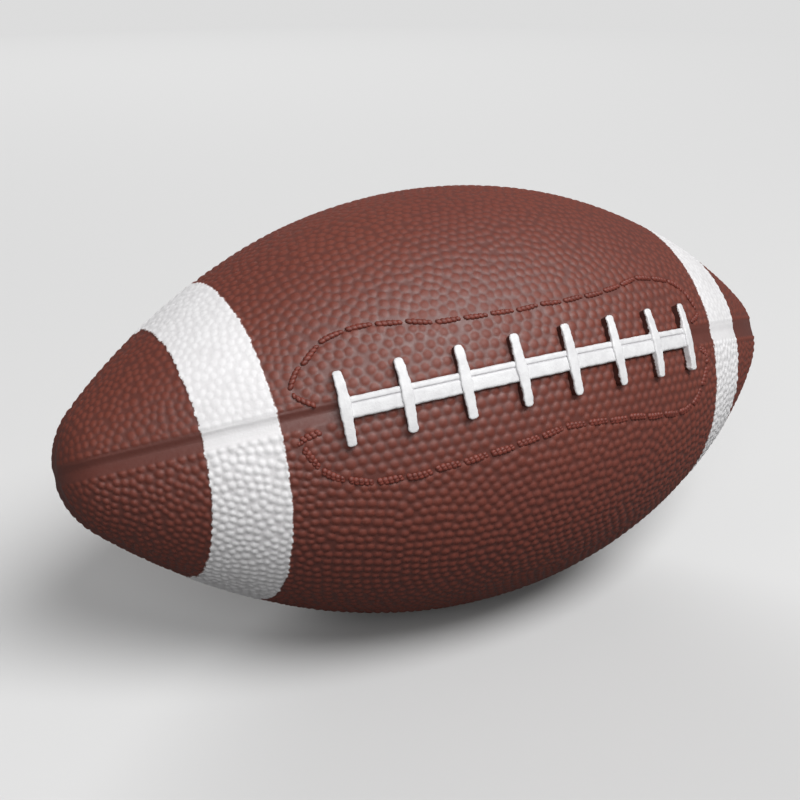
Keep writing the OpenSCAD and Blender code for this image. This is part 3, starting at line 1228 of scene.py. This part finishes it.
@dataclass
class Laces:
    """The raised laces: two rails along the seam and the crossbars over them."""

    cover: Cover
    material: Material
    first: float = -53.35
    pitch: float = 14.957
    count: int = 8
    bar_length: float = 18.0
    bar_width: float = 2.45
    bar_rise: float = 2.05
    bar_round: tuple[Pair, Pair] = ((0.95, 5), (0.4, 4))
    waist: float = 0.28
    crown: float = 0.10
    bare_wall: float = 1.35
    run_over: tuple[float, ...] = (0, 0, 0, 0, 0, 0, 0.6, 1.1)
    rail_rise: float = 1.5
    rail_round: float = 0.55
    rail_bare: float = 0.6
    groove_drop: float = 0.88
    groove_half: float = 0.35
    rail_step: float = 0.6
    bar_step: float = 0.5
    sunk: float = 1.3
    seed: int = 5

    def wrapped(self, flat: Array) -> Array:
        """Carries flat lace shapes onto the ball.

        Args:
            flat: Rows of run, drop and rise.

        Returns:
            One row of x, y, z for each.
        """
        _, out, _ = self.cover.outline.place(flat[:, 0])
        turn = LACE_TURN + np.degrees(flat[:, 1] / out)
        return self.cover.outline.wrap(flat[:, 0], turn, flat[:, 2])

    def block(self, low: Triple, high: Triple) -> BMesh:
        """Starts a block between two corners.

        Args:
            low: Its lowest corner.
            high: Its highest corner.

        Returns:
            The mesh in work.
        """
        bm = bmesh.new()
        middle = [(a + b) / 2 for a, b in zip(low, high)]
        size = [b - a for a, b in zip(low, high)]
        matrix = Matrix.Translation(middle) @ Matrix.Diagonal((*size, 1))
        bmesh.ops.create_cube(bm, size=1, matrix=matrix)
        return bm

    def cut(self, bm: BMesh, axis: int, places: Array) -> None:
        """Cuts a mesh in work across an axis, without removing anything.

        Args:
            bm: The mesh in work.
            axis: Number of the axis.
            places: Where it is cut along the axis.
        """
        for place in places:
            at, way = Vector((0, 0, 0)), Vector((0, 0, 0))
            at[axis], way[axis] = place, 1
            geom = [*bm.verts, *bm.edges, *bm.faces]
            bmesh.ops.bisect_plane(bm, geom=geom, dist=1e-5, plane_co=at, plane_no=way)

    def round_over(self, bm: BMesh, edges: list, offset: float, segments: int) -> None:
        """Bevels some edges."""
        bmesh.ops.bevel(bm, geom=edges, offset=offset, segments=segments, profile=0.5,
                        affect="EDGES", material=-1, clamp_overlap=True)

    def build(self) -> None:
        """Makes the rails and the crossbars."""
        draw = np.random.default_rng(self.seed)
        self.rail("upper_lace_rail", -2.5, -0.75, 0.12)
        self.rail("lower_lace_rail", -1.01, 2.68, 0.16)
        for number in range(self.count):
            self.bar(number, draw.uniform(0, 6, 4))

    def rail(self, name: str, low: float, high: float, wander: float) -> None:
        """Makes one rail.

        Args:
            name: Name of the rail.
            low: Drop of its upper edge.
            high: Drop of its lower edge.
            wander: How far the paint makes its edges wander.
        """
        last = self.first + self.pitch * (self.count - 1)
        bm = self.block((self.first, low, -self.sunk), (last, high, self.rail_rise))
        top = [e for e in bm.edges if all(v.co.z > 0 for v in e.verts)
               and abs(e.verts[0].co.y - e.verts[1].co.y) < TINY]
        self.round_over(bm, top, self.rail_round, 5)
        self.cut(bm, 1, np.linspace(low, high, 6)[1:-1])
        self.cut(bm, 0, np.arange(self.first + self.rail_step, last, self.rail_step))
        flat = coordinates(bm)
        run, drop = flat[:, 0], flat[:, 1]
        side = (drop - (low + high) / 2) / ((high - low) / 2)
        upper = smooth_step(0.2, 1.2, flat[:, 2])
        from_groove = np.abs(drop + self.groove_drop)
        wave = np.sin(run * 1.9 + 3 * side) * 0.5 + np.sin(run * 0.83 + 1.3) * 0.5
        flat[:, 1] += wander * 0.5 * side * wave * upper * smooth_step(0.7, 1.3, from_groove)
        sag = 0.10 * np.cos((run - self.first) / self.pitch * 2 * math.pi)
        flat[:, 2] += upper * (sag + 0.05 * np.sin(run * 2.7 + drop * 2.0) - 0.08 * side**2)
        from_groove = np.abs(flat[:, 1] + self.groove_drop)
        paint = flat[:, 2] - np.where(from_groove < self.groove_half, -2.0, self.rail_bare)
        # mask of the painted shade in the groove between the rails
        groove = 1 - smooth_step(0.2, 0.42, from_groove)
        finish_piece(f"raised_{name}", bm, self.wrapped(flat), self.material, "lace_rubber", name,
                     50, paint=paint, groove=groove)

    def bar(self, number: int, phase: Array) -> None:
        """Makes one crossbar.

        Args:
            number: Its number from the left end, from 0.
            phase: Phases of its small unevenness.
        """
        half, reach = self.bar_width / 2, self.bar_length / 2
        bm = self.block((-half, -reach, -self.sunk), (half, reach, self.bar_rise))
        posts = [e for e in bm.edges if abs(e.verts[0].co.z - e.verts[1].co.z) > 1]
        self.round_over(bm, posts, *self.bar_round[0])
        top = [e for e in bm.edges if all(v.co.z > self.bar_rise - 1e-3 for v in e.verts)]
        self.round_over(bm, top, *self.bar_round[1])
        self.cut(bm, 1, np.arange(-reach + 0.75, reach - self.bar_step, self.bar_step))
        self.cut(bm, 0, np.linspace(-0.62, 0.62, 3) * half)
        self.cut(bm, 2, np.array([0.4, 1.0, 1.4]))
        flat = coordinates(bm)
        run, drop, rise = flat.T
        swell = 1 + self.waist * hump(drop, 3.3) * (1 - 0.2 * smooth_step(0.5, 2.2, rise))
        upper = smooth_step(0.3, 1.6, rise)
        edge = 0.07 * np.sin(drop * 1.7 + phase[0]) + 0.05 * np.sin(drop * 3.9 + phase[1])
        flat[:, 0] = run * swell + np.sign(run) * edge * upper * np.abs(run) / half
        flat[:, 0] += 0.12 * np.sin(drop * 0.35 + phase[2]) * upper
        crown = self.crown * hump(drop, 2.6) - 0.12 * smooth_step(6.0, 9.0, np.abs(drop))
        flat[:, 2] += upper * (crown + 0.03 * np.sin(drop * 2.2 + run * 2 + phase[3]))
        bare = self.bare_wall + 0.15 * smooth_step(4, 9, np.abs(drop))
        over = self.run_over[number] * (run < 0) * smooth_step(-6, 4, drop)
        paint = flat[:, 2] - bare + over
        flat[:, 0] += self.first + self.pitch * number
        name = f"lace_bar_{number + 1}"
        finish_piece(f"raised_{name}", bm, self.wrapped(flat), self.material, "lace_rubber", name,
                     50, paint=paint)


@dataclass
class Stitches:
    """The moulded stitch lines round the lace patch, made of small beads."""

    cover: Cover
    material: Material

    def build(self) -> None:
        """Makes both stitch lines."""
        outline = self.cover.outline
        for line in (UPPER_STITCHES, LOWER_STITCHES):
            bm = bmesh.new()
            for run, drop, angle, size in line.beads():
                at = np.array([run])
                _, out, tilt = outline.place(at)
                turn = LACE_TURN + np.degrees(drop / out)
                point = Vector(outline.wrap(at, turn, np.array([-line.sunk]))[0])
                a, t = math.radians(float(turn[0])), float(tilt[0])
                along = Vector((math.cos(t), math.sin(t) * math.sin(a), -math.sin(t) * math.cos(a)))
                up = Vector((math.sin(t), -math.cos(t) * math.sin(a), math.cos(t) * math.cos(a)))
                basis = Matrix((along, up.cross(along), up)).transposed().to_4x4()
                spin = Matrix.Rotation(-math.radians(angle + line.slant), 4, "Z")
                shape = Matrix.Diagonal((*(Vector(line.bead) * size), 1))
                matrix = Matrix.Translation(point) @ basis @ spin @ shape
                bmesh.ops.create_icosphere(bm, subdivisions=2, radius=1, matrix=matrix)
            finish_piece(line.name, bm, coordinates(bm), self.material, "cover_rubber")


@dataclass
class Valve:
    """The valve: a rubber boot bonded into the bladder, and the plug that seals on a needle."""

    boot: Material
    plug: Material
    face: float = 58.6
    stem_r: float = 4.5
    bore_r: float = 2.55
    plug_r: float = 2.5
    needle_r: float = 1.0
    plug_l: float = 12.5
    seat: float = 0.3
    floor: float = 1.2
    needle_deep: float = 10.0
    air_r: float = 0.8
    flange_r: float = 12.0
    flange_top: float = 55.0
    flange_t: float = 1.5
    steps: int = 72

    def lathe(self, node: str, profile: list[Pair], body: Layer, slot: str,
              material: Material) -> None:
        """Turns a closed outline about the valve's axis.

        Args:
            node: Name of the node that it stands for.
            profile: Places as radius and height along the axis.
            body: The body that it rides on.
            slot: Slot of its finish.
            material: Its finish.
        """
        bm = bmesh.new()
        verts = [bm.verts.new((radius, 0, height)) for radius, height in profile]
        on_axis = profile[0][0] == profile[-1][0] == 0
        pairs = list(zip(verts, [*verts[1:], verts[0]]))[:-1 if on_axis else None]
        edges = [bm.edges.new(pair) for pair in pairs]
        bmesh.ops.spin(bm, geom=[*verts, *edges], cent=(0, 0, 0), axis=(0, 0, 1),
                       angle=2 * math.pi, steps=self.steps, use_merge=True)
        bmesh.ops.remove_doubles(bm, verts=bm.verts, dist=TINY)
        points = coordinates(bm)[:, [0, 2, 1]] * np.array([1, 1, -1])
        finish_piece(f"rubber_{node}", bm, points, material, slot, node, 35, body)

    def build(self) -> None:
        """Makes the boot and the plug."""
        top, low = self.face, self.face - self.plug_l
        bottom = low - self.seat - self.floor
        flange, under = self.flange_top, self.flange_top - self.flange_t
        stem, bore, plug = self.stem_r, self.bore_r, self.plug_r
        needle, air = self.needle_r, self.air_r
        self.lathe("valve_boot", [
            (bore, top - 0.35), (bore + 0.12, top - 0.1), (bore + 0.4, top), (3.3, top),
            (3.4, top - 0.06), (3.48, top - 0.24), (3.72, top - 0.24), (3.8, top - 0.06),
            (3.9, top), (4.15, top - 0.02), (4.38, top - 0.12), (stem, top - 0.4),
            (stem, flange + 0.3), (stem + 0.3, flange - 0.05), (8.0, flange - 0.4),
            (self.flange_r, flange - 1.1), (self.flange_r, flange - 1.5), (8.0, under - 0.2),
            (stem + 0.3, under), (stem, under - 0.3), (stem, bottom + 0.4), (stem - 0.4, bottom),
            (air, bottom), (air, bottom + self.floor), (bore, bottom + self.floor),
        ], Layer.BALL, "valve_rubber", self.boot)
        self.lathe("valve_plug", [
            (0, top - self.needle_deep - 0.3), (needle, top - self.needle_deep),
            (needle, top - 0.5), (needle + 0.1, top - 0.25), (1.35, top - 0.05), (1.6, top),
            (1.85, top - 0.03), (1.98, top - 0.16), (2.2, top - 0.18), (2.38, top - 0.24),
            (plug, top - 0.45), (plug, low + 0.35), (plug - 0.35, low), (0, low),
        ], Layer.VALVE, "plug_rubber", self.plug)


@dataclass
class Core:
    """The layers under the cover, which come from the frame as they are."""

    bladder: PlainRubber = PlainRubber("bladder_rubber", (34, 32, 32), (52, 50, 50), 0.42, 260)
    thread_winding: WoundThread = WoundThread()
    carcass: PlainRubber = PlainRubber("carcass_rubber", (74, 44, 36), (58, 34, 28), 0.6, 1400)

    def build(self) -> None:
        """Gives each inner layer its finish."""
        for name, coat in vars(self).items():
            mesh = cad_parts[name].data
            mesh.materials.clear()
            mesh.materials.append(coat.build())
            LOG.info("%s: %s", name, coat.name)


# ---- stage, light and camera


@dataclass
class Studio:
    """Pale floor, soft light and the camera of the photograph, with sizes in metres."""

    floor_z: float = -0.05903
    floor_half: float = 6.0
    floor_seen: Colour = (200, 200, 200)
    floor_bounce: float = 0.10
    gloss_share: float = 0.05
    world: float = 0.155
    backdrop: float = 0.72
    fade: Pair = (0.3, 1.3)
    lens: float = 62.693
    eye: Triple = (-0.19074, -0.31664, 0.14881)
    right: Triple = (0.87165, -0.49014, 0.0)
    up: Triple = (0.18456, 0.32821, 0.92640)

    def build(self) -> None:
        """Makes the floor, the lamps, the world and the camera."""
        self.build_floor()
        for name, place, size, power in (
            ("key_lamp", (0.40, -1.35, 2.02), (2.2, 1.2), 69.0),
            ("fill_lamp", (-1.3, -2.1, 1.3), (1.6, 1.6), 23.0),
            ("back_lamp", (0.6, 2.1, 0.75), (1.2, 1.2), 40.0),
        ):
            data = bpy.data.lights.new(name, "AREA")
            data.shape, data.energy = "ELLIPSE", power
            data.size, data.size_y = size
            lamp = add_object(name, data)
            lamp.location = place
            lamp.visible_glossy = name != "back_lamp"
            lamp.rotation_euler = (-Vector(place)).to_track_quat("-Z", "Y").to_euler()
        self.build_world()
        self.build_camera()

    def build_floor(self) -> None:
        """Makes the floor, which fades into the backdrop for the camera alone."""
        bm = bmesh.new()
        bmesh.ops.create_grid(bm, x_segments=1, y_segments=1, size=self.floor_half)
        mesh = bpy.data.meshes.new("floor")
        bm.to_mesh(mesh)
        bm.free()
        mesh.transform(Matrix.Translation((0, 0, self.floor_z)))
        n = Coat("pale_floor")
        ray = n.add("LightPath", {}).outputs
        gloss = n.math("MULTIPLY", ray["Is Glossy Ray"], self.gloss_share)
        gloss = n.math("MAXIMUM", gloss, ray["Is Transmission Ray"])
        seen = n.math("MAXIMUM", ray["Is Camera Ray"], gloss)
        colour = n.mix(seen, (*(self.floor_bounce,) * 3, 1.0), self.floor_seen)
        dull = {"Base Color": colour, "Roughness": 0.9, "Specular IOR Level": 0.1}
        shader = n.add("BsdfPrincipled", dull).outputs[0]
        away = n.add("VectorMath", {0: n.place}, operation="LENGTH").outputs["Value"]
        far = n.math("MULTIPLY", n.span(away, *self.fade, (0, 1)), seen)
        glow = n.add("Emission", {"Color": (1, 1, 1, 1), "Strength": self.backdrop}).outputs[0]
        blend = n.add("MixShader", {0: far, 1: shader, 2: glow}).outputs[0]
        n.add("OutputMaterial", {"Surface": blend})
        mesh.materials.append(n.material)
        add_object("floor", mesh)

    def build_world(self) -> None:
        """Makes the world, dimmer as light than as backdrop."""
        world = bpy.data.worlds.new("studio")
        bpy.context.scene.world = world
        world.use_nodes = True
        n = Nodes(world.node_tree)
        seen = n.add("LightPath", {}).outputs["Is Camera Ray"]
        light, back = (
            n.add("Background", {"Color": (1, 1, 1, 1), "Strength": strength}).outputs[0]
            for strength in (self.world, self.backdrop)
        )
        blend = n.add("MixShader", {0: seen, 1: light, 2: back}).outputs[0]
        n.add("OutputWorld", {0: blend})

    def build_camera(self) -> None:
        """Makes the camera where the photograph was taken from."""
        data = bpy.data.cameras.new("camera")
        data.sensor_width, data.lens = 36.0, self.lens
        data.clip_start, data.clip_end = 0.01, 50
        camera = add_object("camera", data)
        right, up = Vector(self.right), Vector(self.up)
        camera.matrix_world = Matrix((right, up, right.cross(up))).transposed().to_4x4()
        camera.location = self.eye
        bpy.context.scene.camera = camera


def main() -> None:
    """Builds the football in order and reports each piece."""
    logging.basicConfig(level=logging.INFO, format="%(message)s")
    cover = Cover()
    cover.prepare()
    Panels(cover, CoverRubber().build()).build()
    paint = StripePaint().build()
    Stripe(cover, paint, "left_stripe", -1, (68.0, 1.5, 35.0), (88.2, 0.5, 20.0)).build()
    Stripe(cover, paint, "right_stripe", 1, (68.3, 1.0, 50.0), (88.4, 1.6, 62.0)).build()
    Laces(cover, LacePaint().build()).build()
    Stitches(cover, StitchRubber().build()).build()
    Valve(
        PlainRubber("valve_rubber", (30, 29, 29), (44, 42, 42), 0.45).build(),
        PlainRubber("plug_rubber", (58, 56, 55), (72, 70, 68), 0.5).build(),
    ).build()
    Core().build()
    Studio().build()
    bpy.context.scene.view_settings.view_transform = "Standard"
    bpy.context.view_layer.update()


if __name__ == "__main__":
    main()
